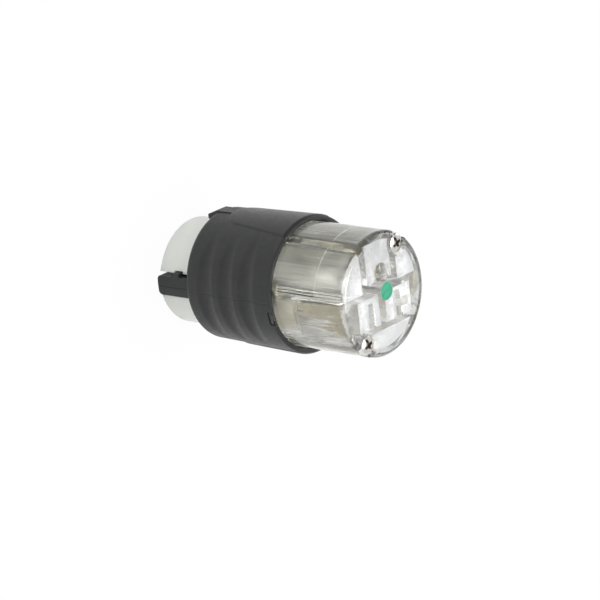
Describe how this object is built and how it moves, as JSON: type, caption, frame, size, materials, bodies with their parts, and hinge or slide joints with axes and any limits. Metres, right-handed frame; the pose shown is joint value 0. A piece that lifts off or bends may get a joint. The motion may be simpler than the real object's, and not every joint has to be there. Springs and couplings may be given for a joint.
{
  "type": "straight blade connector",
  "caption": "Straight blade cord connector with a clear front body, visible brass contacts, a black wave-grip housing and white cord-clamp jaws.",
  "frame": {"origin": "centre of the box at the cord end, on the plane of the jaw ends that the connector stands on", "axes": "+Z along the connector's axis towards the mating face, -Y towards the ground opening, +X towards the line opening"},
  "size_m": [0.0416, 0.0422, 0.0734],
  "materials": {
    "clear_plastic": "clear polished polycarbonate",
    "green_mark": "satin",
    "plated_steel": "bright nickel plate",
    "brass": "rolled brass",
    "green_screw": "green dyed",
    "black_plastic": "fine satin mould texture",
    "white_nylon": "smooth natural nylon"
  },
  "bodies": {
    "root": {"front_body": "clear_plastic", "contact_retainer": "clear_plastic", "green_dot": "green_mark", "assembly_screws": "plated_steel", "thread_inserts": "brass", "line_contact": "brass", "neutral_contact": "brass", "ground_contact": "brass", "line_clamp_plate": "brass", "neutral_clamp_plate": "plated_steel", "ground_clamp_plate": "plated_steel", "line_terminal_screw": "brass", "neutral_terminal_screw": "plated_steel", "ground_terminal_screw": "green_screw", "rear_housing": "black_plastic", "front_cord_jaw": "white_nylon", "rear_cord_jaw": "white_nylon"}
  },
  "joints": []
}
